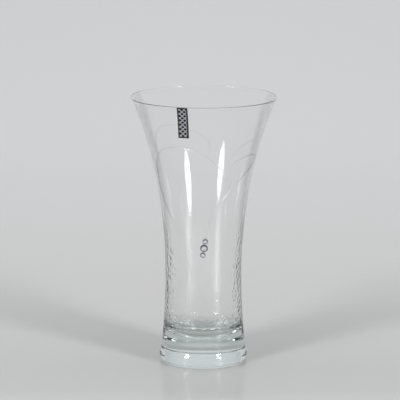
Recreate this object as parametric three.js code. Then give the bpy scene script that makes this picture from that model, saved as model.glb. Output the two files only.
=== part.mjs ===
// Trumpet-shaped clear glass vase on a solid foot, with three faceted stones bonded to the front
// of its waist and a small label on the outside of the rim. Millimetres, +Z up, front towards -Y.
// The origin is the centre of the circle that the foot rests on.

import * as THREE from 'three';
import { ConvexGeometry } from 'three/addons/geometries/ConvexGeometry.js';

// Outside of the glass
const HEIGHT = 250;
const FOOT_RADIUS = 40.9;
const FOOT_SIDE_HEIGHT = 8;
const FOOT_SHOULDER_HEIGHT = 6.5;
const FOOT_EDGE_RADIUS = 3.5;
const WAIST_HEIGHT = 84;
const WAIST_RADIUS = 35.65;
const WALL_SWELL = 5.3;
const RIM_RADIUS = 68.6;
const FLARE_POWER = 2.07;
const LIP_TURN = 1.4;
const LIP_TURN_POWER = 20;

// Inside of the glass
const RIM_WALL = 1.1;
const BASE_WALL = 4.6;
const FLOOR_THICKNESS = 21.6;
const FLOOR_BOWL_RADIUS = 50;
const FLOOR_CORNER_RADIUS = 10;

// Underside: a flat resting ring round a shallow hollow
const RESTING_RING_WIDTH = 8;
const HOLLOW_DEPTH = 0.3;

// Stones: a larger one between two small ones, in a row that leans to the right at its top
const STONE_ROW_HEIGHT = 114.3;
const STONE_ROW_AZIMUTH = 0.7;
const STONE_ROW_LEAN = 9.5;
const MIDDLE_STONE_RADIUS = 3.55;
const MIDDLE_STONE_HEIGHT = 2.8;
const OUTER_STONE_RADIUS = 2.5;
const OUTER_STONE_HEIGHT = 2.0;
const STONE_SPACE = 0.45;
const STONE_FACETS = 8;
const GIRDLE_HEIGHT = 0.5;
const STAR_RING_SHARE = 0.8;
const STAR_RING_RISE = 0.62;
const TABLE_SHARE = 0.48;

// Clear adhesive under each stone
const BOND_THICKNESS = 0.3;
const BOND_INSET = 0.35;

// Label
const LABEL_WIDTH = 10;
const LABEL_LENGTH = 32;
const LABEL_THICKNESS = 0.3;
const LABEL_AZIMUTH = -16.9;
const LABEL_LEAN = 3.5;
const LABEL_BELOW_RIM = 0.3;

// Gap between a piece and what it is bonded to
const SEAT_GAP = 0.25;

// Faces of the round shapes
const ROUND_SEGMENTS = 64;
const BOND_SEGMENTS = 24;
const SHOULDER_STEPS = 6;
const OUTER_WALL_STEPS = 20;
const INNER_WALL_STEPS = 16;
const CORNER_STEPS = 4;
const FLOOR_STEPS = 5;
const LIP_STEPS = 6;
const EDGE_STEPS = 3;
const HOLLOW_STEPS = 3;
const LABEL_STEPS_ACROSS = 4;
const LABEL_STEPS_ALONG = 12;

const RIGHT_ANGLE = Math.PI / 2;
const lipRadius = RIM_WALL / 2;
const lipHeight = HEIGHT - lipRadius;
const shoulderTop = FOOT_SIDE_HEIGHT + FOOT_SHOULDER_HEIGHT;

const glass = new THREE.MeshStandardMaterial({
  name: 'clear_glass', color: 0xd9e4e2, roughness: 0.02, metalness: 0,
  transparent: true, opacity: 0.35,
});
const crystal = new THREE.MeshStandardMaterial({
  name: 'cut_crystal', color: 0xe6e9ec, roughness: 0.03, metalness: 0.2,
});
const adhesive = new THREE.MeshStandardMaterial({
  name: 'clear_adhesive', color: 0xdfe2e0, roughness: 0.15, metalness: 0,
});
const blackFoil = new THREE.MeshStandardMaterial({
  name: 'black_foil', color: 0x17181b, roughness: 0.3, metalness: 0.1,
});

// Radius of the outer wall at a height, above the foot
function wallRadius(z) {
  const below = Math.max(0, WAIST_HEIGHT - z) / WAIST_HEIGHT;
  const above = Math.max(0, z - WAIST_HEIGHT) / (HEIGHT - WAIST_HEIGHT);
  const flare = RIM_RADIUS - WAIST_RADIUS - LIP_TURN;
  return WAIST_RADIUS + WALL_SWELL * below ** 2
    + flare * above ** FLARE_POWER + LIP_TURN * above ** LIP_TURN_POWER;
}

// Radius of the whole outside. The foot has a straight side and a soft shoulder, over which it
// passes into the wall.
function outerRadius(z) {
  const share = THREE.MathUtils.smoothstep(z, FOOT_SIDE_HEIGHT, shoulderTop);
  return THREE.MathUtils.lerp(FOOT_RADIUS, wallRadius(z), share);
}

function innerRadius(z) {
  return outerRadius(z) - THREE.MathUtils.lerp(BASE_WALL, RIM_WALL, z / lipHeight);
}

// How much the outer radius grows for each millimetre of height
function outerSlope(z) {
  const step = 0.05;
  return (outerRadius(z + step) - outerRadius(z - step)) / (2 * step);
}

// A quarter, half or other share of a circle, as profile points from one angle to another
function arc(radius, height, size, from, to, steps) {
  return Array.from({ length: steps + 1 }, (_, i) => {
    const angle = THREE.MathUtils.lerp(from, to, i / steps);
    return new THREE.Vector2(radius + size * Math.cos(angle), height + size * Math.sin(angle));
  });
}

// Points on a wall from one height to another, closer together near the second one
function wallPoints(radiusAt, from, to, steps, crowding) {
  return Array.from({ length: steps }, (_, i) => {
    const share = 1 - (1 - (i + 1) / steps) ** crowding;
    const z = THREE.MathUtils.lerp(from, to, share);
    return new THREE.Vector2(radiusAt(z), z);
  });
}

// The hollow underside, a shallow cap that starts on the axis
function undersidePoints() {
  const ringInner = FOOT_RADIUS - FOOT_EDGE_RADIUS - RESTING_RING_WIDTH;
  return Array.from({ length: HOLLOW_STEPS + 1 }, (_, i) => {
    const share = i / HOLLOW_STEPS;
    return new THREE.Vector2(ringInner * share, HOLLOW_DEPTH * (1 - share ** 2));
  });
}

// The bottom of the cavity: a bowl that is part of a sphere, joined to the wall by a round corner.
// The height of the corner follows from the wall, which is a little wider lower down, so it is
// found in a few rounds.
function cavityFloorPoints() {
  const bowlCentre = FLOOR_THICKNESS + FLOOR_BOWL_RADIUS;
  const inset = FLOOR_BOWL_RADIUS - FLOOR_CORNER_RADIUS;
  let cornerHeight = 2 * FLOOR_THICKNESS;
  let cornerCentre = 0;
  for (let round = 0; round < 5; round += 1) {
    cornerCentre = innerRadius(cornerHeight) - FLOOR_CORNER_RADIUS;
    cornerHeight = bowlCentre - Math.sqrt(inset ** 2 - cornerCentre ** 2);
  }
  const meet = Math.asin(cornerCentre / inset) - RIGHT_ANGLE;
  const corner = arc(cornerCentre, cornerHeight, FLOOR_CORNER_RADIUS, 0, meet, CORNER_STEPS);
  const bowl = arc(0, bowlCentre, FLOOR_BOWL_RADIUS, meet, -RIGHT_ANGLE, FLOOR_STEPS);
  const centre = new THREE.Vector2(0, FLOOR_THICKNESS);
  return { cornerHeight, points: [...corner, ...bowl.slice(1, -1), centre] };
}

function vaseBodyGeometry() {
  const edge = arc(FOOT_RADIUS - FOOT_EDGE_RADIUS, FOOT_EDGE_RADIUS, FOOT_EDGE_RADIUS,
    -RIGHT_ANGLE, 0, EDGE_STEPS);
  const footSide = new THREE.Vector2(FOOT_RADIUS, FOOT_SIDE_HEIGHT);
  const shoulder = wallPoints(outerRadius, FOOT_SIDE_HEIGHT, shoulderTop, SHOULDER_STEPS, 1);
  const outer = wallPoints(outerRadius, shoulderTop, lipHeight, OUTER_WALL_STEPS, 1.5);
  const lip = arc(outerRadius(lipHeight) - lipRadius, lipHeight, lipRadius, 0, Math.PI, LIP_STEPS);
  const floor = cavityFloorPoints();
  const inner = wallPoints(innerRadius, floor.cornerHeight, lipHeight, INNER_WALL_STEPS, 1.5);
  inner.pop();
  const profile = [
    ...undersidePoints(), ...edge, footSide, ...shoulder, ...outer, ...lip.slice(1),
    ...inner.reverse(), ...floor.points,
  ];
  const geometry = new THREE.LatheGeometry(profile, ROUND_SEGMENTS);
  geometry.rotateX(RIGHT_ANGLE);
  return geometry;
}

// Position and turn of something that lies on the outer wall, facing out, by azimuth and height
function seatOnWall(object, azimuth, z, standOff) {
  const turn = THREE.MathUtils.degToRad(azimuth);
  const radial = new THREE.Vector3(Math.sin(turn), -Math.cos(turn), 0);
  const right = new THREE.Vector3(Math.cos(turn), Math.sin(turn), 0);
  const up = new THREE.Vector3(0, 0, 1).addScaledVector(radial, outerSlope(z)).normalize();
  const out = new THREE.Vector3().crossVectors(right, up);
  object.setRotationFromMatrix(new THREE.Matrix4().makeBasis(right, up, out));
  object.position.copy(radial).multiplyScalar(outerRadius(z)).setZ(z).addScaledVector(out, standOff);
}

// A flat-backed stone on its back: an upright girdle, two rows of facets and a flat table
function stoneGeometry(radius, height) {
  const ring = (count, share, z, turn) => Array.from({ length: count }, (_, i) => {
    const angle = (i + turn) * 2 * Math.PI / count;
    return new THREE.Vector3(radius * share * Math.cos(angle), radius * share * Math.sin(angle), z);
  });
  const starHeight = THREE.MathUtils.lerp(GIRDLE_HEIGHT, height, STAR_RING_RISE);
  return new ConvexGeometry([
    ...ring(2 * STONE_FACETS, 1, 0, 0),
    ...ring(2 * STONE_FACETS, 1, GIRDLE_HEIGHT, 0),
    ...ring(STONE_FACETS, STAR_RING_SHARE, starHeight, 0.5),
    ...ring(STONE_FACETS, TABLE_SHARE, height, 0),
  ]);
}

// One stone and the adhesive behind it, at its place along the row
function bondedStone(place, radius, height, alongRow) {
  const lean = THREE.MathUtils.degToRad(STONE_ROW_LEAN);
  const z = STONE_ROW_HEIGHT + alongRow * Math.cos(lean);
  const across = alongRow * Math.sin(lean) / outerRadius(z);
  const azimuth = STONE_ROW_AZIMUTH + THREE.MathUtils.radToDeg(across);

  const stone = new THREE.Mesh(stoneGeometry(radius, height), crystal);
  stone.name = `crystal_${place}`;
  stone.position.z = BOND_THICKNESS + SEAT_GAP;

  const disc = new THREE.CylinderGeometry(radius - BOND_INSET, radius - BOND_INSET,
    BOND_THICKNESS, BOND_SEGMENTS);
  disc.rotateX(RIGHT_ANGLE);
  const bond = new THREE.Mesh(disc, adhesive);
  bond.name = `adhesive_${place}`;
  bond.position.z = BOND_THICKNESS / 2;

  const seat = new THREE.Group().add(stone, bond);
  seatOnWall(seat, azimuth, z, SEAT_GAP);
  return seat;
}

// A thin plate bent round the wall and along its flare, leaning a little to the right at its top
function labelGeometry() {
  const plate = new THREE.BoxGeometry(LABEL_WIDTH, LABEL_THICKNESS, LABEL_LENGTH,
    LABEL_STEPS_ACROSS, 1, LABEL_STEPS_ALONG);
  const top = HEIGHT - LABEL_BELOW_RIM;
  const step = LABEL_LENGTH / LABEL_STEPS_ALONG;
  const rowHeights = [top];
  for (let i = 0; i < LABEL_STEPS_ALONG; i += 1) {
    const z = rowHeights[i];
    rowHeights.push(z - step / Math.hypot(1, outerSlope(z - step / 2)));
  }
  const lean = Math.tan(THREE.MathUtils.degToRad(LABEL_LEAN));
  const middle = THREE.MathUtils.degToRad(LABEL_AZIMUTH);
  const position = plate.getAttribute('position');
  for (let i = 0; i < position.count; i += 1) {
    const below = LABEL_LENGTH / 2 - position.getZ(i);
    const z = rowHeights[Math.round(below / step)];
    const off = SEAT_GAP + LABEL_THICKNESS / 2 - position.getY(i);
    const tilt = Math.atan(outerSlope(z));
    const radius = outerRadius(z) + off * Math.cos(tilt);
    const azimuth = middle + (position.getX(i) - below * lean) / outerRadius(z);
    position.setXYZ(i, radius * Math.sin(azimuth), -radius * Math.cos(azimuth),
      z - off * Math.sin(tilt));
  }
  plate.computeVertexNormals();
  return plate;
}

const vase = new THREE.Group();

const body = new THREE.Mesh(vaseBodyGeometry(), glass);
body.name = 'vase_body';
vase.add(body);

const stoneStep = MIDDLE_STONE_RADIUS + STONE_SPACE + OUTER_STONE_RADIUS;
vase.add(bondedStone('upper', OUTER_STONE_RADIUS, OUTER_STONE_HEIGHT, stoneStep));
vase.add(bondedStone('middle', MIDDLE_STONE_RADIUS, MIDDLE_STONE_HEIGHT, 0));
vase.add(bondedStone('lower', OUTER_STONE_RADIUS, OUTER_STONE_HEIGHT, -stoneStep));

const label = new THREE.Mesh(labelGeometry(), blackFoil);
label.name = 'rim_label';
vase.add(label);

export default vase;
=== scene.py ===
# %% [markdown]
# # A flared vase of clear glass
#
# This lesson dresses a packed construction model of a vase. The construction holds the real sizes:
# the turned glass wall, three bonded stones and a label at the rim. Here each of them gets a fine
# mesh and a finish, and the room gets a camera, a paper sweep and its lights.
#
# The construction is loaded first and never moved.

# %% Load the construction
import math

import bmesh
import bpy
from mathutils import Matrix, Vector, kdtree


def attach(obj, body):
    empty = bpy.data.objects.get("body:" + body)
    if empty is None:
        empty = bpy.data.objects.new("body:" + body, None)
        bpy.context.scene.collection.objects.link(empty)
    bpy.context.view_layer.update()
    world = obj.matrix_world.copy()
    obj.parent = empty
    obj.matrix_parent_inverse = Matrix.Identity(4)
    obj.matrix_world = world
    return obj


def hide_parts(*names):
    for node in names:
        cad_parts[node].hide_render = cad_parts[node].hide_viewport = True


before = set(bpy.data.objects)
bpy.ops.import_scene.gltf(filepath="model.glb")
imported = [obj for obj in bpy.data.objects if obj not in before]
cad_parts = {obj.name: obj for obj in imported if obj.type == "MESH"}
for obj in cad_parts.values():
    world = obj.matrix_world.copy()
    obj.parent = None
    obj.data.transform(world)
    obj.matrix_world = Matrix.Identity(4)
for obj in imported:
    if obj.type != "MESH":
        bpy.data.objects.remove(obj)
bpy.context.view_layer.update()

MM = 0.001

# %% [markdown]
# ## Camera
#
# The rim and the foot of a round vase are seen as two ellipses. How flat each one is gives the
# height of the lens above it, and the two together give the distance. They say that the camera
# stood almost three metres away with a long lens, tilted down by about eleven degrees.

# %% Camera
IMAGE_SIDE = 400
FOCAL_LENGTH_PIXELS = 3141
CAMERA_DISTANCE = 2.875
CAMERA_HEIGHT = 0.696
CAMERA_TILT_DOWN = 10.705
CAMERA_TURN_LEFT = 0.0675
CAMERA_ROLL = 0.14

camera_data = bpy.data.cameras.new("camera")
camera_data.sensor_width = 36
camera_data.lens = camera_data.sensor_width * FOCAL_LENGTH_PIXELS / IMAGE_SIDE
camera_data.clip_end = 20
camera = bpy.data.objects.new("camera", camera_data)
turns = [(CAMERA_TURN_LEFT, "Z"), (90 - CAMERA_TILT_DOWN, "X"), (CAMERA_ROLL, "Z")]
turned = [Matrix.Rotation(math.radians(angle), 4, axis) for angle, axis in turns]
place = Matrix.Translation((0, -CAMERA_DISTANCE, CAMERA_HEIGHT))
camera.matrix_world = place @ turned[0] @ turned[1] @ turned[2]
bpy.context.collection.objects.link(camera)
bpy.context.scene.camera = camera
bpy.context.scene.view_settings.view_transform = "Standard"
print("lens", round(camera_data.lens), "mm")

# %% [markdown]
# ## Small helpers
#
# Every piece is drawn in a bmesh and then handed to the scene as one object at the origin, so that
# its place is in its vertices. Spun outlines meet themselves in a seam and at their poles, and the
# doubles there are merged. Materials are built from nodes by a few short calls.

# %% Helpers for pieces
MERGE_DISTANCE = 0.001 * MM


def finish_piece(name, bm, material, smooth=True):
    """Turns a bmesh into an object with one material."""
    mesh = bpy.data.meshes.new(name)
    bm.to_mesh(mesh)
    bm.free()
    for polygon in mesh.polygons:
        polygon.use_smooth = smooth
    mesh.materials.append(material)
    piece = bpy.data.objects.new(name, mesh)
    bpy.context.collection.objects.link(piece)
    print(name, len(mesh.polygons), "faces")
    return piece


def spin_outline(outline, steps):
    """Turns an outline, given as (radius, height), once round the Z axis."""
    bm = bmesh.new()
    chain = [bm.verts.new((radius, 0, z)) for radius, z in outline]
    edges = [bm.edges.new(pair) for pair in zip(chain, chain[1:])]
    bmesh.ops.spin(
        bm, geom=chain + edges, cent=(0, 0, 0), axis=(0, 0, 1), dvec=(0, 0, 0),
        angle=2 * math.pi, steps=steps, use_merge=True, use_duplicate=False)
    bmesh.ops.remove_doubles(bm, verts=bm.verts[:], dist=MERGE_DISTANCE)
    bmesh.ops.recalc_face_normals(bm, faces=bm.faces[:])
    return bm


print("doubles closer than", MERGE_DISTANCE / MM, "mm are merged")

# %% Helpers for materials


def new_material(name):
    """Gives a material with an empty node tree and its output."""
    material = bpy.data.materials.new(name)
    material.use_nodes = True
    nodes = material.node_tree.nodes
    nodes.clear()
    return material, nodes.new("ShaderNodeOutputMaterial")


def add_node(tree, kind, settings=None, **inputs):
    """Adds a node, and sets or links its inputs, whose names have _ for a space."""
    node = tree.nodes.new(kind)
    for key, value in (settings or {}).items():
        setattr(node, key, value)
    for key, value in inputs.items():
        place = int(key[3:]) if key.startswith("at_") else key.replace("_", " ")
        if isinstance(value, bpy.types.NodeSocket):
            tree.links.new(value, node.inputs[place])
        else:
            node.inputs[place].default_value = value
    return node


def add_surface(material, output, **inputs):
    """Makes a Principled surface the look of a material."""
    surface = add_node(material.node_tree, "ShaderNodeBsdfPrincipled", **inputs)
    material.node_tree.links.new(surface.outputs[0], output.inputs["Surface"])


def add_uneven(tree, scale, detail, low, high):
    """A value that wanders between two levels over the piece."""
    place = add_node(tree, "ShaderNodeTexCoord").outputs["Object"]
    noise = add_node(tree, "ShaderNodeTexNoise", Vector=place, Scale=scale, Detail=detail)
    level = add_node(tree, "ShaderNodeMapRange", Value=noise.outputs["Fac"], To_Min=low, To_Max=high)
    return level.outputs[0]


# %% [markdown]
# ## Sweep
#
# A roll of pale paper runs from under the vase up the wall behind it, so no edge shows. An edge is
# spun through a quarter turn for the curve, and the whole line is pulled out sideways. The paper's
# colour holds painted shade: it is painted darkest round the vase, where most light falls, and paler
# in front and towards the back. It is opaque from the front only, so that the vase can be looked at
# from behind too.

# %% Paper sweep
SWEEP_LEFT = -1.5
SWEEP_RIGHT = 1.75
SWEEP_FRONT = -2.0
SWEEP_BACK = 0.9
SWEEP_CURVE = 0.5
SWEEP_TOP = 2.2
SWEEP_DROP = 0.2 * MM
SWEEP_STEPS = 24
PAPER_SHINE = 0.2
PAPER_ROUGHNESS = 0.2
PAPER_GRAIN_SCALE = 900
PAPER_GRAIN_STRENGTH = 0.05
# painted shade of the paper: how far behind the vase in metres, from in front of it to the wall, and the
# colour there
PAPER_PAINTED_SHADES = [
    (-0.7, (0.8, 0.8, 0.8)), (-0.12, (0.425, 0.431, 0.421)), (-0.04, (0.444, 0.451, 0.441)),
    (0.26, (0.596, 0.59, 0.583)), (0.515, (0.707, 0.702, 0.692)), (0.9, (0.866, 0.864, 0.865)),
    (1.3, (0.717, 0.72, 0.731))]


def make_sweep():
    bm = bmesh.new()
    path = [bm.verts.new((SWEEP_LEFT, SWEEP_FRONT, -SWEEP_DROP)),
            bm.verts.new((SWEEP_LEFT, SWEEP_BACK, -SWEEP_DROP))]
    bm.edges.new(path)
    bent = bmesh.ops.spin(
        bm, geom=[path[1]], cent=(0, SWEEP_BACK, SWEEP_CURVE - SWEEP_DROP), axis=(1, 0, 0),
        dvec=(0, 0, 0), angle=math.pi / 2, steps=SWEEP_STEPS, use_merge=False, use_duplicate=False)
    last = [v for v in bent["geom_last"] if isinstance(v, bmesh.types.BMVert)][0]
    bm.edges.new((last, bm.verts.new((last.co.x, last.co.y, SWEEP_TOP))))
    pulled = bmesh.ops.extrude_edge_only(bm, edges=bm.edges[:])
    moved = [v for v in pulled["geom"] if isinstance(v, bmesh.types.BMVert)]
    bmesh.ops.translate(bm, verts=moved, vec=(SWEEP_RIGHT - SWEEP_LEFT, 0, 0))
    bmesh.ops.recalc_face_normals(bm, faces=bm.faces[:])
    bm.normal_update()
    if sum(f.normal.z for f in bm.faces) < 0:
        bmesh.ops.reverse_faces(bm, faces=bm.faces[:])
    return bm


def paper_material():
    material, output = new_material("satin_paper")
    tree = material.node_tree
    place = add_node(tree, "ShaderNodeTexCoord").outputs["Object"]
    grain = add_node(tree, "ShaderNodeTexNoise", Vector=place, Scale=PAPER_GRAIN_SCALE, Detail=2)
    bump = add_node(
        tree, "ShaderNodeBump", Height=grain.outputs["Fac"], Strength=PAPER_GRAIN_STRENGTH)
    back = add_node(tree, "ShaderNodeSeparateXYZ", Vector=place).outputs["Y"]
    near, far = PAPER_PAINTED_SHADES[0][0], PAPER_PAINTED_SHADES[-1][0]
    share = add_node(tree, "ShaderNodeMapRange", Value=back, From_Min=near, From_Max=far)
    # the ramp paints the paper's shade, darker or paler by how far behind the vase it lies
    shade = add_node(tree, "ShaderNodeValToRGB", Fac=share.outputs[0])
    stops = shade.color_ramp.elements
    for _ in PAPER_PAINTED_SHADES[2:]:
        stops.new(0.5)
    for stop, (y, colour) in zip(stops, PAPER_PAINTED_SHADES):
        stop.position = (y - near) / (far - near)
        stop.color = (*colour, 1)
    surface = add_node(
        tree, "ShaderNodeBsdfPrincipled", Base_Color=shade.outputs["Color"], Roughness=PAPER_ROUGHNESS,
        Specular_IOR_Level=PAPER_SHINE, Normal=bump.outputs["Normal"])
    behind = add_node(tree, "ShaderNodeNewGeometry").outputs["Backfacing"]
    clear = add_node(tree, "ShaderNodeBsdfTransparent")
    one_sided = add_node(
        tree, "ShaderNodeMixShader", Fac=behind, at_1=surface.outputs[0], at_2=clear.outputs[0])
    tree.links.new(one_sided.outputs[0], output.inputs["Surface"])
    return material


sweep = finish_piece("sweep", make_sweep(), paper_material())

# %% [markdown]
# ## Lights
#
# Two low soft boxes stand in front, one to each side. They draw the two bright streaks in the bowl.
# Two smaller lamps stand higher on the same sides and throw the two long shadows. The glass neither
# mirrors nor bends the image of these two, and the even light of the room fills in. Clear glass
# shows little of its own: what is seen in it is the paper, the two boxes with their image in the
# satin paper, and the room as thin grey lines.

# %% Room light, soft boxes and lamps
ROOM_COLOUR = (0.97, 0.985, 1, 1)
ROOM_STRENGTH = 0.5
SEEN_STRENGTH = 0.6
BOX_DISTANCE = 1.2
BOX_WIDTH = 0.3
BOX_POWER = 5
# azimuth in degrees, height of the bottom and of the box itself
BOXES = {"soft_box_left": (-45, 0.235, 0.33), "soft_box_right": (42.5, 0.14, 0.38)}
LAMP_HEIGHT = 0.955
LAMP_SIZE = 0.28
LAMP_POWER = 9
# azimuth in degrees
LAMPS = {"lamp_left": -38, "lamp_right": 41}


def make_room():
    """Even light for the paper, and a level of its own for the room as glass and metal show it."""
    world = bpy.data.worlds.new("room")
    bpy.context.scene.world = world
    world.use_nodes = True
    tree = world.node_tree
    tree.nodes.clear()
    ray = add_node(tree, "ShaderNodeLightPath")
    seen = add_node(
        tree, "ShaderNodeMath", {"operation": "MAXIMUM"},
        at_0=ray.outputs["Is Glossy Ray"], at_1=ray.outputs["Is Transmission Ray"])
    strength = add_node(
        tree, "ShaderNodeMapRange", Value=seen.outputs[0], To_Min=ROOM_STRENGTH, To_Max=SEEN_STRENGTH)
    glow = add_node(tree, "ShaderNodeBackground", Color=ROOM_COLOUR, Strength=strength.outputs[0])
    output = add_node(tree, "ShaderNodeOutputWorld")
    tree.links.new(glow.outputs[0], output.inputs["Surface"])


def make_light(name, azimuth, z, size, power, looks_down):
    """An oval light at a height, turned to the vase: level, or down at its foot."""
    data = bpy.data.lights.new(name, "AREA")
    data.shape = "ELLIPSE"
    data.size, data.size_y = size
    data.energy = power
    light = bpy.data.objects.new(name, data)
    turn = math.radians(azimuth)
    stand = Vector((math.sin(turn), -math.cos(turn), 0)) * BOX_DISTANCE
    light.location = stand + Vector((0, 0, z))
    aim = -light.location if looks_down else -stand
    light.rotation_euler = aim.to_track_quat("-Z", "Y").to_euler()
    bpy.context.collection.objects.link(light)
    return light


make_room()
for name, (azimuth, bottom, height) in BOXES.items():
    make_light(name, azimuth, bottom + height / 2, (BOX_WIDTH, height), BOX_POWER, False)
for name, azimuth in LAMPS.items():
    lamp = make_light(name, azimuth, LAMP_HEIGHT, (LAMP_SIZE, LAMP_SIZE), LAMP_POWER, True)
    lamp.visible_glossy = False
    lamp.visible_transmission = False
print("soft boxes", len(BOXES), "and lamps", len(LAMPS))

# %% [markdown]
# ## The outline of the glass
#
# The vase is turned, so two curves say all about its shape: the radius of the outside and of the
# inside at each height. The foot is a low drum with a soft shoulder. From it the wall narrows to
# the waist and then opens faster and faster to the rim. The inside follows it, and the glass grows
# from one millimetre at the rim to over four at the bottom, where the cavity ends in a shallow
# bowl with a round corner.

# %% Outline of the glass
HEIGHT = 250 * MM
FOOT_RADIUS = 40.9 * MM
FOOT_SIDE_HEIGHT = 8 * MM
FOOT_SHOULDER_HEIGHT = 6.5 * MM
FOOT_EDGE_RADIUS = 3.5 * MM
WAIST_HEIGHT = 84 * MM
WAIST_RADIUS = 35.65 * MM
WALL_SWELL = 5.3 * MM
RIM_RADIUS = 68.6 * MM
FLARE_POWER = 2.07
LIP_TURN = 1.4 * MM
LIP_TURN_POWER = 20
RIM_WALL = 1.1 * MM
BASE_WALL = 4.6 * MM
FLOOR_THICKNESS = 21.6 * MM
FLOOR_BOWL_RADIUS = 50 * MM
FLOOR_CORNER_RADIUS = 10 * MM
RESTING_RING_WIDTH = 8 * MM
HOLLOW_DEPTH = 0.3 * MM
LIP_RADIUS = RIM_WALL / 2
LIP_HEIGHT = HEIGHT - LIP_RADIUS
SHOULDER_TOP = FOOT_SIDE_HEIGHT + FOOT_SHOULDER_HEIGHT
# slopes are measured over this much to either side
SLOPE_STEP = 0.05 * MM
CORNER_ROUNDS = 5


def mix(low, high, share):
    return low + (high - low) * share


def smooth_step(value, start, end):
    share = min(1, max(0, (value - start) / (end - start)))
    return share * share * (3 - 2 * share)


def wall_radius(z):
    below = max(0, WAIST_HEIGHT - z) / WAIST_HEIGHT
    above = max(0, z - WAIST_HEIGHT) / (HEIGHT - WAIST_HEIGHT)
    flare = RIM_RADIUS - WAIST_RADIUS - LIP_TURN
    radius = WAIST_RADIUS + WALL_SWELL * below ** 2 + flare * above ** FLARE_POWER
    return radius + LIP_TURN * above ** LIP_TURN_POWER


def outer_radius(z):
    return mix(FOOT_RADIUS, wall_radius(z), smooth_step(z, FOOT_SIDE_HEIGHT, SHOULDER_TOP))


def inner_radius(z):
    return outer_radius(z) - mix(BASE_WALL, RIM_WALL, z / LIP_HEIGHT)


def middle_radius(z):
    return (outer_radius(z) + inner_radius(z)) / 2


def outer_slope(z):
    """How much the outer radius grows with the height."""
    return (outer_radius(z + SLOPE_STEP) - outer_radius(z - SLOPE_STEP)) / (2 * SLOPE_STEP)


def find_corner():
    """Height and radius of the centre of the round corner between the wall and the bowl."""
    bowl_centre = FLOOR_THICKNESS + FLOOR_BOWL_RADIUS
    inset = FLOOR_BOWL_RADIUS - FLOOR_CORNER_RADIUS
    height = 2 * FLOOR_THICKNESS
    for _ in range(CORNER_ROUNDS):
        radius = inner_radius(height) - FLOOR_CORNER_RADIUS
        height = bowl_centre - math.sqrt(inset ** 2 - radius ** 2)
    return height, radius


CORNER_HEIGHT, CORNER_RADIUS = find_corner()


def at_turn(radius, turn, z):
    """A point at a turn in radians round the axis, where 0 is the front and + is to the right."""
    return Vector((radius * math.sin(turn), -radius * math.cos(turn), z))


def on_wall(azimuth, z, stand_off=0):
    """A point on the outside, or off it, at an azimuth in degrees."""
    tilt = math.atan(outer_slope(z))
    radius = outer_radius(z) + stand_off * math.cos(tilt)
    return at_turn(radius, math.radians(azimuth), z - stand_off * math.sin(tilt))


print("waist", round(2 * outer_radius(WAIST_HEIGHT) / MM, 1), "mm across")

# %% [markdown]
# ## The cut arcs
#
# Long arcs are ground into the outside with a thin wheel, like blades of grass that sweep up from
# the stones and bow over. A wheel leaves a shallow round-bottomed groove with a satin surface. Each
# arc is a smooth curve through a few places on the wall, given as azimuth and height.

# %% Cut arcs
CUT_HALF_WIDTH = 0.6 * MM
CUT_DEPTH = 0.13 * MM
CUT_SAMPLE = 0.25 * MM
CUT_TAPER = 22 * MM
SAMPLES_BETWEEN = 40
# azimuth in degrees and height in mm
CUT_ARCS = {
    "left_blade": [
        (11.6, 55.8), (-5.1, 72.9), (-22, 98.5), (-32, 121.8), (-51.9, 144), (-66, 166), (-64, 189),
        (-48, 205.5), (-27.7, 210.3), (-8, 207), (10.7, 197), (27, 181), (38, 160)],
    "right_blade": [
        (-6, 74), (-6.5, 84), (-1.9, 101.5), (0.5, 114), (5.2, 127.9), (10.5, 142.7), (20.8, 155.6),
        (42.6, 174.9), (65.9, 188), (85, 200), (106, 206), (128, 199), (146.5, 184), (158, 160)],
    "right_tip": [(20, 184), (33, 194.3), (44, 198.4), (56, 200.3), (68, 198.5), (80, 191), (90, 178)],
    "back_blade": [
        (150, 130), (158, 168), (170.7, 193.9), (188.4, 207.3), (213.2, 215), (232.8, 214),
        (245, 204), (249, 188), (243, 165)],
}


def smooth_route(places):
    """A Catmull-Rom curve through places, as a list of (azimuth, height)."""
    ends = [places[0], *places, places[-1]]
    route = []
    for i in range(len(places) - 1):
        p = [Vector(q) for q in ends[i:i + 4]]
        for k in range(SAMPLES_BETWEEN):
            t = k / SAMPLES_BETWEEN
            route.append(
                0.5 * (2 * p[1] + (p[2] - p[0]) * t + (2 * p[0] - 5 * p[1] + 4 * p[2] - p[3]) * t ** 2
                       + (3 * p[1] - p[0] - 3 * p[2] + p[3]) * t ** 3))
    return [*route, Vector(places[-1])]


def cut_points():
    """Points along every arc, each with the share of the full depth that it is cut to."""
    points = []
    for places in CUT_ARCS.values():
        line = [on_wall(azimuth, height * MM) for azimuth, height in smooth_route(places)]
        run = [0]
        for a, b in zip(line, line[1:]):
            run.append(run[-1] + (b - a).length)
        for i, (a, b) in enumerate(zip(line, line[1:])):
            steps = max(1, math.ceil((b - a).length / CUT_SAMPLE))
            for k in range(steps):
                along = mix(run[i], run[i + 1], k / steps)
                end = min(along, run[-1] - along)
                points.append((a.lerp(b, k / steps), smooth_step(end, 0, CUT_TAPER)))
    return points


cut_line = cut_points()
cut_tree = kdtree.KDTree(len(cut_line))
for index, (point, _) in enumerate(cut_line):
    cut_tree.insert(point, index)
cut_tree.balance()
print("arcs", len(CUT_ARCS), "with", len(cut_line), "points")


def cut_share(point):
    """0 away from the cuts, 1 at the bottom of one."""
    _, near, distance = cut_tree.find(point)
    across = distance / CUT_HALF_WIDTH
    return 0 if across >= 1 else (1 - across ** 2) ** 1.5 * cut_line[near][1]


# %% [markdown]
# ## The glass wall
#
# The outline is drawn once as a chain of edges and spun round the axis. It starts and ends on the
# axis, so that the glass is closed.

# %% Turned glass
TURNS = 192
OUTER_STEP = 1.9 * MM
INNER_STEP = 2.6 * MM
HOLLOW_STEPS = 8
EDGE_STEPS = 8
SHOULDER_STEPS = 12
LIP_STEPS = 12
CORNER_STEPS = 8
BOWL_STEPS = 30
RIGHT_ANGLE = math.pi / 2


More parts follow.
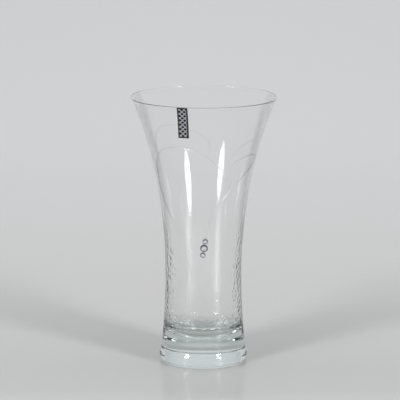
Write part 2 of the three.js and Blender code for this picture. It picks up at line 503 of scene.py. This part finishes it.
def arc(radius, height, size, start, end, steps):
    turns = [mix(start, end, k / steps) for k in range(steps + 1)]
    return [(radius + size * math.cos(t), height + size * math.sin(t)) for t in turns]


def wall_rows(radius_at, low, high, step):
    rows = round((high - low) / step)
    heights = [mix(low, high, k / rows) for k in range(1, rows)]
    return [(radius_at(z), z) for z in heights]


def outline():
    foot_inset = FOOT_RADIUS - FOOT_EDGE_RADIUS
    ring = foot_inset - RESTING_RING_WIDTH
    hollow_shares = [k / HOLLOW_STEPS for k in range(HOLLOW_STEPS + 1)]
    under = [(ring * share, HOLLOW_DEPTH * (1 - share ** 2)) for share in hollow_shares]
    edge = arc(foot_inset, FOOT_EDGE_RADIUS, FOOT_EDGE_RADIUS, -RIGHT_ANGLE, 0, EDGE_STEPS)
    foot_side = wall_rows(outer_radius, FOOT_EDGE_RADIUS, FOOT_SIDE_HEIGHT, OUTER_STEP)
    shoulder_shares = [k / SHOULDER_STEPS for k in range(SHOULDER_STEPS + 1)]
    shoulder_heights = [mix(FOOT_SIDE_HEIGHT, SHOULDER_TOP, share) for share in shoulder_shares]
    shoulder = [(outer_radius(z), z) for z in shoulder_heights]
    outside = wall_rows(outer_radius, SHOULDER_TOP, LIP_HEIGHT, OUTER_STEP)
    lip = arc(outer_radius(LIP_HEIGHT) - LIP_RADIUS, LIP_HEIGHT, LIP_RADIUS, 0, math.pi, LIP_STEPS)
    inside = wall_rows(inner_radius, CORNER_HEIGHT, LIP_HEIGHT, INNER_STEP)
    meet = math.asin(CORNER_RADIUS / (FLOOR_BOWL_RADIUS - FLOOR_CORNER_RADIUS)) - RIGHT_ANGLE
    corner = arc(CORNER_RADIUS, CORNER_HEIGHT, FLOOR_CORNER_RADIUS, 0, meet, CORNER_STEPS)
    bowl_centre = FLOOR_THICKNESS + FLOOR_BOWL_RADIUS
    bowl = arc(0, bowl_centre, FLOOR_BOWL_RADIUS, meet, -RIGHT_ANGLE, BOWL_STEPS)
    return [*under, *edge, *foot_side, *shoulder, *outside, *lip, *reversed(inside), *corner, *bowl[1:]]


glass_outline = outline()
wall_bm = spin_outline(glass_outline, TURNS)
print("outline of", len(glass_outline), "points, turned in", TURNS, "steps")

# %% [markdown]
# ## Cuts and ripples on the wall
#
# Only the strips beside the cut arcs are divided further, and then every vertex of the wall is set
# back on the true curve, so that the finer strips don't show as flats. A value on the vertices
# marks the lower part of the cavity, where the shader adds the faint ripples that a mould leaves.
# They are what sparkles along both flanks.

# %% Cuts and ripples
DIVIDED_REACHES = (3.0 * MM, 1.8 * MM)
SATIN_GAIN = 3
RIPPLE_TOP = 150 * MM
RIPPLE_FULL = 95 * MM
# vertices this close to the lip or to the corner of the floor belong to those
SEAM_MARGIN = 0.1 * MM


def side_of(point):
    """outer or inner for a vertex of the two walls, and None for foot, lip and floor."""
    z = point.z
    if z > LIP_HEIGHT - SEAM_MARGIN or z < FOOT_EDGE_RADIUS:
        return None
    if math.hypot(point.x, point.y) > middle_radius(z):
        return "outer"
    return "inner" if z > CORNER_HEIGHT + SEAM_MARGIN else None


def divide_beside_cuts(bm, reach):
    near = [e for e in bm.edges
            if side_of(e.verts[0].co) == side_of(e.verts[1].co) == "outer"
            and cut_tree.find((e.verts[0].co + e.verts[1].co) / 2)[2] < reach]
    bmesh.ops.subdivide_edges(bm, edges=near, cuts=1, use_grid_fill=True)


def wall_point(side, turn, z):
    """A point of the finished wall, cuts included. turn is in radians from the front."""
    if side == "inner":
        return at_turn(inner_radius(z), turn, z)
    radius = outer_radius(z)
    return at_turn(radius - CUT_DEPTH * cut_share(at_turn(radius, turn, z)), turn, z)


def ripple_share(point):
    """0 on the outside, and inside 1 low down and 0 above."""
    outside = math.hypot(point.x, point.y) > middle_radius(point.z)
    if outside or point.z < FLOOR_THICKNESS / 2:
        return 0
    return smooth_step(point.z, RIPPLE_TOP, RIPPLE_FULL)


def set_on_curve(bm):
    satin = bm.verts.layers.float.new("satin")
    rippled = bm.verts.layers.float.new("rippled")
    for v in bm.verts:
        v[rippled] = ripple_share(v.co)
        side = side_of(v.co)
        if side:
            turn = math.atan2(v.co.x, -v.co.y)
            if side == "outer":
                uncut = at_turn(outer_radius(v.co.z), turn, v.co.z)
                v[satin] = min(1, SATIN_GAIN * cut_share(uncut))
            v.co = wall_point(side, turn, v.co.z)


def wall_normals(mesh):
    """Normals of the true curve, so that strips of finer faces don't change the shine."""
    normals = []
    for v in mesh.vertices:
        side = side_of(v.co)
        if not side:
            normals.append(v.normal)
            continue
        turn, z = math.atan2(v.co.x, -v.co.y), v.co.z
        swing = SLOPE_STEP / outer_radius(z)
        round_way = wall_point(side, turn + swing, z) - wall_point(side, turn - swing, z)
        up_way = wall_point(side, turn, z + SLOPE_STEP) - wall_point(side, turn, z - SLOPE_STEP)
        out = round_way.cross(up_way).normalized()
        normals.append(out if side == "outer" else -out)
    mesh.normals_split_custom_set_from_vertices(normals)


for reach in DIVIDED_REACHES:
    divide_beside_cuts(wall_bm, reach)
set_on_curve(wall_bm)
print("wall of", len(wall_bm.verts), "vertices")

# %% [markdown]
# ## Clear glass
#
# Clear glass bends light and mirrors a little of it. Its faint sea green shows only where the eye
# looks along the wall, so the colour is in the depth and not on the surface: an absorbing volume.
# The wheel cuts are rough, and a value painted on the vertices tells the shader where they are.
# The cuts are also tinted grey: partly the dull of the ground glass, partly painted shade that
# makes the grooves read darker.
# Light that falls through the vase on the paper takes a short cut: for shadow and diffuse rays
# the wall is a thin tinted film, denser where the ray grazes it, as the shadow of a glass is. The
# film of the solid foot is clearer, as much light reaches the paper under it. A second short cut
# keeps the outline of the thin upper wall faint: where the wall turns away from the eye, part of
# the light goes straight through it.

# %% Clear glass material
GLASS_IOR = 1.52
DEPTH_COLOUR = (0.72, 0.93, 0.90, 1)
DEPTH_DENSITY = 4
GLASS_COLOUR = (0.985, 0.988, 0.988, 1)
CUT_ROUGHNESS = 0.25
# grey of the cuts: partly the dull of the ground glass, partly painted shade in the grooves
CUT_GREY_AND_PAINTED_SHADE = (0.9, 0.91, 0.91, 1)
RIPPLE_DEPTH = 0.45 * MM
RIPPLE_SCALE = 330
WALL_FILM = (0.62, 0.64, 0.64, 1)
GRAZED_FILM = (0.35, 0.38, 0.38, 1)
GRAZED_BLEND = 0.35
FOOT_FILM = (0.9, 0.9, 0.89, 1)
THICK_BELOW = 110 * MM
THIN_ABOVE = 170 * MM
# how far a face turns away from the eye before it lets light straight through, and the most it lets
EDGE_FROM = 0.5
EDGE_CLEAR = 0.95


def clear_glass():
    material, output = new_material("clear_glass")
    tree = material.node_tree
    satin = add_node(tree, "ShaderNodeAttribute", {"attribute_name": "satin"})
    rough = add_node(
        tree, "ShaderNodeMapRange", Value=satin.outputs["Fac"], To_Min=0, To_Max=CUT_ROUGHNESS)
    # the glass's own tint, turned greyer in the cuts by the painted shade
    glass_tint_and_cut_shade = add_node(
        tree, "ShaderNodeMix", {"data_type": "RGBA"}, Factor=satin.outputs["Fac"],
        at_6=GLASS_COLOUR, at_7=CUT_GREY_AND_PAINTED_SHADE)
    place = add_node(tree, "ShaderNodeTexCoord").outputs["Object"]
    waves = add_node(tree, "ShaderNodeTexNoise", Vector=place, Scale=RIPPLE_SCALE, Detail=1)
    about_zero = add_node(
        tree, "ShaderNodeMath", {"operation": "SUBTRACT"}, at_0=waves.outputs["Fac"], at_1=0.5)
    rippled = add_node(tree, "ShaderNodeAttribute", {"attribute_name": "rippled"})
    depth_of_waves = add_node(
        tree, "ShaderNodeMath", {"operation": "MULTIPLY"},
        at_0=about_zero.outputs[0], at_1=rippled.outputs["Fac"])
    uneven = add_node(
        tree, "ShaderNodeBump", Height=depth_of_waves.outputs[0], Distance=RIPPLE_DEPTH, Strength=1)
    glass = add_node(
        tree, "ShaderNodeBsdfPrincipled", Base_Color=glass_tint_and_cut_shade.outputs[2], Roughness=rough.outputs[0],
        IOR=GLASS_IOR, Transmission_Weight=1, Normal=uneven.outputs[0])
    graze = add_node(tree, "ShaderNodeLayerWeight", Blend=GRAZED_BLEND)
    wall_film = add_node(
        tree, "ShaderNodeMix", {"data_type": "RGBA"}, Factor=graze.outputs["Facing"],
        at_6=WALL_FILM, at_7=GRAZED_FILM)
    height = add_node(tree, "ShaderNodeSeparateXYZ", Vector=place).outputs["Z"]
    above_foot = add_node(
        tree, "ShaderNodeMapRange", Value=height, From_Min=0.5 * FLOOR_THICKNESS, From_Max=FLOOR_THICKNESS)
    film_colour = add_node(
        tree, "ShaderNodeMix", {"data_type": "RGBA"}, Factor=above_foot.outputs[0],
        at_6=FOOT_FILM, at_7=wall_film.outputs[2])
    film = add_node(tree, "ShaderNodeBsdfTransparent", Color=film_colour.outputs[2])
    ray = add_node(tree, "ShaderNodeLightPath")
    either = add_node(
        tree, "ShaderNodeMath", {"operation": "MAXIMUM"},
        at_0=ray.outputs["Is Shadow Ray"], at_1=ray.outputs["Is Diffuse Ray"])
    surface = add_node(
        tree, "ShaderNodeMixShader", Fac=either.outputs[0], at_1=glass.outputs[0],
        at_2=film.outputs[0])
    turned_away = add_node(tree, "ShaderNodeLayerWeight", Blend=0.5)
    edge = add_node(
        tree, "ShaderNodeMapRange", Value=turned_away.outputs["Facing"], From_Min=EDGE_FROM, From_Max=1)
    thin = add_node(
        tree, "ShaderNodeMapRange", Value=height, From_Min=THICK_BELOW, From_Max=THIN_ABOVE,
        To_Max=EDGE_CLEAR)
    straight = add_node(
        tree, "ShaderNodeMath", {"operation": "MULTIPLY"}, at_0=thin.outputs[0], at_1=edge.outputs[0])
    passing = add_node(tree, "ShaderNodeBsdfTransparent")
    edged = add_node(
        tree, "ShaderNodeMixShader", Fac=straight.outputs[0], at_1=surface.outputs[0],
        at_2=passing.outputs[0])
    depth = add_node(
        tree, "ShaderNodeVolumeAbsorption", Color=DEPTH_COLOUR, Density=DEPTH_DENSITY)
    tree.links.new(edged.outputs[0], output.inputs["Surface"])
    tree.links.new(depth.outputs[0], output.inputs["Volume"])
    return material


vase_wall = finish_piece("vase_wall", wall_bm, clear_glass())
wall_normals(vase_wall.data)
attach(vase_wall, "root")
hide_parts("vase_body")

# %% [markdown]
# ## Stones
#
# The stones are flat-backed crystals: a table on top, two rows of facets, a thin girdle and a
# silvered back that throws the light out again. The edge up to the first row of facets is painted
# a flat dark, a painted shade that stands in for the dark these facets would mirror, and draws a
# dark ring round each stone. Every face of a cut stone is flat and none is hollow, so each stone is
# made as the convex hull of four rings of points: two for the girdle, one with a half turn, so that
# triangles appear between the rows of facets, and one for the table.

# %% Places and shape of the stones
STONE_ROW_HEIGHT = 114.3 * MM
STONE_ROW_AZIMUTH = 0.7
STONE_ROW_LEAN = 9.5
STONE_SPACE = 0.45 * MM
MIDDLE_STONE = {"radius": 3.55 * MM, "height": 2.8 * MM}
OUTER_STONE = {"radius": 2.5 * MM, "height": 2.0 * MM}
BOND_THICKNESS = 0.3 * MM
SEAT_GAP = 0.25 * MM
STONE_FACETS = 8
GIRDLE_HEIGHT = 0.5 * MM
# radius of the table and of the ring between the two rows of facets, and how high that ring lies
TABLE_SHARE = 0.5
RING_SHARE = 0.75
RING_RISE = 0.7
STONE_TURN = 14
# place along the row and sizes
STONES = {"middle": (0, MIDDLE_STONE), "upper": (1, OUTER_STONE), "lower": (-1, OUTER_STONE)}
STONE_STEP = MIDDLE_STONE["radius"] + STONE_SPACE + OUTER_STONE["radius"]


def seat_matrix(azimuth, z, stand_off):
    """Turns a piece whose back is the XY plane so that it lies on the wall and faces out."""
    turn = math.radians(azimuth)
    radial = Vector((math.sin(turn), -math.cos(turn), 0))
    right = Vector((math.cos(turn), math.sin(turn), 0))
    up = (Vector((0, 0, 1)) + radial * outer_slope(z)).normalized()
    out = right.cross(up)
    place = radial * outer_radius(z) + Vector((0, 0, z)) + out * stand_off
    return Matrix.Translation(place) @ Matrix((right, up, out)).transposed().to_4x4()


def stone_seat(along):
    lean = math.radians(STONE_ROW_LEAN)
    z = STONE_ROW_HEIGHT + along * STONE_STEP * math.cos(lean)
    across = along * STONE_STEP * math.sin(lean) / outer_radius(z)
    return STONE_ROW_AZIMUTH + math.degrees(across), z


def make_stone(radius, height):
    bm = bmesh.new()
    sides = 2 * STONE_FACETS
    levels = [(sides, radius, 0, 0), (sides, radius, GIRDLE_HEIGHT, 0),
              (STONE_FACETS, RING_SHARE * radius, mix(GIRDLE_HEIGHT, height, RING_RISE), 0.5),
              (STONE_FACETS, TABLE_SHARE * radius, height, 0)]
    for count, size, z, turn in levels:
        made = bmesh.ops.create_circle(bm, cap_ends=False, segments=count, radius=size)
        bmesh.ops.rotate(bm, verts=made["verts"], cent=(0, 0, 0),
                         matrix=Matrix.Rotation(turn * 2 * math.pi / count, 3, "Z"))
        bmesh.ops.translate(bm, verts=made["verts"], vec=(0, 0, z))
    bmesh.ops.convex_hull(bm, input=bm.verts[:])
    bmesh.ops.rotate(
        bm, verts=bm.verts[:], cent=(0, 0, 0), matrix=Matrix.Rotation(math.radians(STONE_TURN), 3, "Z"))
    bmesh.ops.dissolve_limit(bm, angle_limit=math.radians(1), verts=bm.verts[:], edges=bm.edges[:])
    bmesh.ops.recalc_face_normals(bm, faces=bm.faces[:])
    return bm


print("row of", len(STONES), "stones,", round(STONE_STEP / MM, 2), "mm from middle to middle")

# %% Materials of the stones
CRYSTAL_COLOUR = (0.97, 0.98, 1, 1)
CRYSTAL_ROUGHNESS = 0.1
CRYSTAL_IOR = 1.58
SHADE_RING_COLOUR = (0.06, 0.06, 0.065, 1)
SHADE_RING_ROUGHNESS = 0.4
SHADE_RING_SHINE = 0.3
SILVER_COLOUR = (0.75, 0.76, 0.78, 1)
SILVER_ROUGHNESS = (0.05, 0.2)
SILVER_GRAIN_SCALE = 2500


def crystal_material():
    material, output = new_material("cut_crystal")
    add_surface(
        material, output, Base_Color=CRYSTAL_COLOUR, Roughness=CRYSTAL_ROUGHNESS,
        IOR=CRYSTAL_IOR, Transmission_Weight=1)
    return material


def silver_material():
    material, output = new_material("silvered_back")
    rough = add_uneven(material.node_tree, SILVER_GRAIN_SCALE, 2, *SILVER_ROUGHNESS)
    add_surface(material, output, Base_Color=SILVER_COLOUR, Roughness=rough, Metallic=1)
    return material


# a flat dark paint: painted shade on the edge of each stone
def shade_ring_material():
    material, output = new_material("painted_shade_ring")
    add_surface(
        material, output, Base_Color=SHADE_RING_COLOUR, Roughness=SHADE_RING_ROUGHNESS,
        Specular_IOR_Level=SHADE_RING_SHINE)
    return material


crystal, silver, shade_ring = crystal_material(), silver_material(), shade_ring_material()
print("materials", crystal.name, silver.name, shade_ring.name)

# %% Set the stones
# faces whose normal leans out less than this get the dark painted shade, and those that face the wall
# silvered
SHADE_PAINTED_BELOW = 0.6
SILVERED_BELOW = -0.5

for name, (along, size) in STONES.items():
    bm = make_stone(size["radius"], size["height"])
    azimuth, z = stone_seat(along)
    seat = seat_matrix(azimuth, z, 2 * SEAT_GAP + BOND_THICKNESS)
    for face in bm.faces:
        if face.normal.z < SHADE_PAINTED_BELOW:
            face.material_index = 1 if face.normal.z < SILVERED_BELOW else 2
    bmesh.ops.transform(bm, matrix=seat, verts=bm.verts[:])
    stone = finish_piece(f"stone_{name}", bm, crystal, smooth=False)
    stone.data.materials.append(silver)
    stone.data.materials.append(shade_ring)
    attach(stone, "root")
    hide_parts(f"crystal_{name}")

# %% [markdown]
# ## Adhesive
#
# A drop of clear adhesive is squeezed out to a thin pad under each stone and wets both the stone
# and the glass, so its edge is hollow. A disc with its rim drawn in at the middle shows that.

# %% Adhesive
BOND_INSET = 0.35 * MM
BOND_HOLLOW = 0.18 * MM
BOND_CLEARANCE = 0.02 * MM
BOND_TURNS = 32
BOND_COLOUR = (0.95, 0.96, 0.95, 1)
BOND_ROUGHNESS = (0.1, 0.35)
BOND_HAZE_SCALE = 1800
BOND_IOR = 1.48
BOND_CLEARNESS = 0.85


def adhesive_material():
    material, output = new_material("clear_adhesive")
    rough = add_uneven(material.node_tree, BOND_HAZE_SCALE, 3, *BOND_ROUGHNESS)
    add_surface(
        material, output, Base_Color=BOND_COLOUR, Roughness=rough, IOR=BOND_IOR,
        Transmission_Weight=BOND_CLEARNESS)
    return material


def make_bond(radius):
    """A pad from just off the glass to just under the stone, with a hollow edge."""
    depth = 2 * SEAT_GAP + BOND_THICKNESS
    low, high = BOND_CLEARANCE, depth - BOND_CLEARANCE
    profile = [(0, low), (radius, low), (radius - BOND_HOLLOW, depth / 2), (radius, high), (0, high)]
    return spin_outline(profile, BOND_TURNS)


adhesive = adhesive_material()
for name, (along, size) in STONES.items():
    bm = make_bond(size["radius"] - BOND_INSET)
    azimuth, z = stone_seat(along)
    bmesh.ops.transform(bm, matrix=seat_matrix(azimuth, z, 0), verts=bm.verts[:])
    bond = finish_piece(f"bond_{name}", bm, adhesive)
    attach(bond, "root")
    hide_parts(f"adhesive_{name}")

# %% [markdown]
# ## Label
#
# A small label of black foil is stuck on the outside, with its top at the rim. It starts as a flat
# grid, is bent round the wall and along its flare, and gets a hair's thickness. Its print is a
# plain trellis in silver grey with a plain black edge, drawn by nodes on the label's own UV map.

# %% Shape of the label
LABEL_WIDTH = 10 * MM
LABEL_LENGTH = 32 * MM
LABEL_THICKNESS = 0.15 * MM
LABEL_OFF_GLASS = 0.03 * MM
LABEL_AZIMUTH = -16.9
LABEL_LEAN = 3.5
LABEL_BELOW_RIM = 0.3 * MM
LABEL_COLUMNS = 14
LABEL_ROWS = 44


def label_heights():
    """Height of each row of the label, which are evenly spaced along the flare."""
    step = LABEL_LENGTH / LABEL_ROWS
    heights = [HEIGHT - LABEL_BELOW_RIM]
    for _ in range(LABEL_ROWS):
        z = heights[-1]
        grow = outer_radius(z) - outer_radius(z - step)
        heights.append(z - step * step / math.hypot(step, grow))
    return heights


def make_label():
    bm = bmesh.new()
    bmesh.ops.create_grid(
        bm, x_segments=LABEL_COLUMNS, y_segments=LABEL_ROWS, size=0.5, calc_uvs=True)
    heights = label_heights()
    lean = math.tan(math.radians(LABEL_LEAN))
    uv = bm.loops.layers.uv.verify()
    for face in bm.faces:
        for loop in face.loops:
            loop[uv].uv = (loop.vert.co.x + 0.5, loop.vert.co.y + 0.5)
    for v in bm.verts:
        below = 0.5 - v.co.y
        z = heights[round(below * LABEL_ROWS)]
        across = v.co.x * LABEL_WIDTH - below * LABEL_LENGTH * lean
        azimuth = LABEL_AZIMUTH + math.degrees(across / outer_radius(z))
        v.co = on_wall(azimuth, z, LABEL_OFF_GLASS + LABEL_THICKNESS)
    bmesh.ops.recalc_face_normals(bm, faces=bm.faces[:])
    outward = on_wall(LABEL_AZIMUTH, HEIGHT / 2).normalized()
    if sum(f.normal.dot(outward) for f in bm.faces) < 0:
        bmesh.ops.reverse_faces(bm, faces=bm.faces[:])
    bmesh.ops.solidify(bm, geom=bm.faces[:], thickness=LABEL_THICKNESS)
    return bm


label_bm = make_label()
print("label from", round(label_heights()[-1] / MM, 1), "mm up to the rim")

# %% Print of the label
PLAIN_EDGE = 1.3 * MM
TRELLIS_PITCH = 4.6 * MM
TRELLIS_HALF_LINE = 0.55 * MM
FOIL_COLOUR = (0.004, 0.004, 0.005, 1)
FOIL_ROUGHNESS = 0.45
PRINT_COLOUR = (0.3, 0.31, 0.33, 1)
PRINT_ROUGHNESS = 0.3
LABEL_SHINE = 0.15


def label_material():
    material, output = new_material("black_label")
    tree = material.node_tree
    uv = add_node(tree, "ShaderNodeUVMap").outputs["UV"]
    size = add_node(
        tree, "ShaderNodeMapping", Vector=uv, Scale=(LABEL_WIDTH, LABEL_LENGTH, 1))
    split = add_node(tree, "ShaderNodeSeparateXYZ", Vector=size.outputs[0])

    def math_node(operation, a, b=0.0):
        return add_node(tree, "ShaderNodeMath", {"operation": operation}, at_0=a, at_1=b).outputs[0]

    def from_ends(place, length):
        """Distance to the nearer of the two ends of a length."""
        off_middle = math_node("ABSOLUTE", math_node("SUBTRACT", place, length / 2))
        return math_node("SUBTRACT", length / 2, off_middle)

    across, along = split.outputs[0], split.outputs[1]
    from_edge = math_node("MINIMUM", from_ends(across, LABEL_WIDTH), from_ends(along, LABEL_LENGTH))
    inside = math_node("GREATER_THAN", from_edge, PLAIN_EDGE)
    lines = []
    for sign in (1, -1):
        diagonal = math_node("ADD", along, math_node("MULTIPLY", across, sign))
        off_line = math_node("PINGPONG", diagonal, TRELLIS_PITCH / 2)
        lines.append(math_node("LESS_THAN", off_line, TRELLIS_HALF_LINE))
    ink = math_node("MULTIPLY", math_node("MAXIMUM", *lines), inside)
    colour = add_node(
        tree, "ShaderNodeMix", {"data_type": "RGBA"}, Factor=ink, at_6=FOIL_COLOUR, at_7=PRINT_COLOUR)
    rough = add_node(
        tree, "ShaderNodeMapRange", Value=ink, To_Min=FOIL_ROUGHNESS, To_Max=PRINT_ROUGHNESS)
    add_surface(
        material, output, Base_Color=colour.outputs[2], Roughness=rough.outputs[0],
        Specular_IOR_Level=LABEL_SHINE)
    return material


label = finish_piece("label", label_bm, label_material())
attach(label, "root")
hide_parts("rim_label")
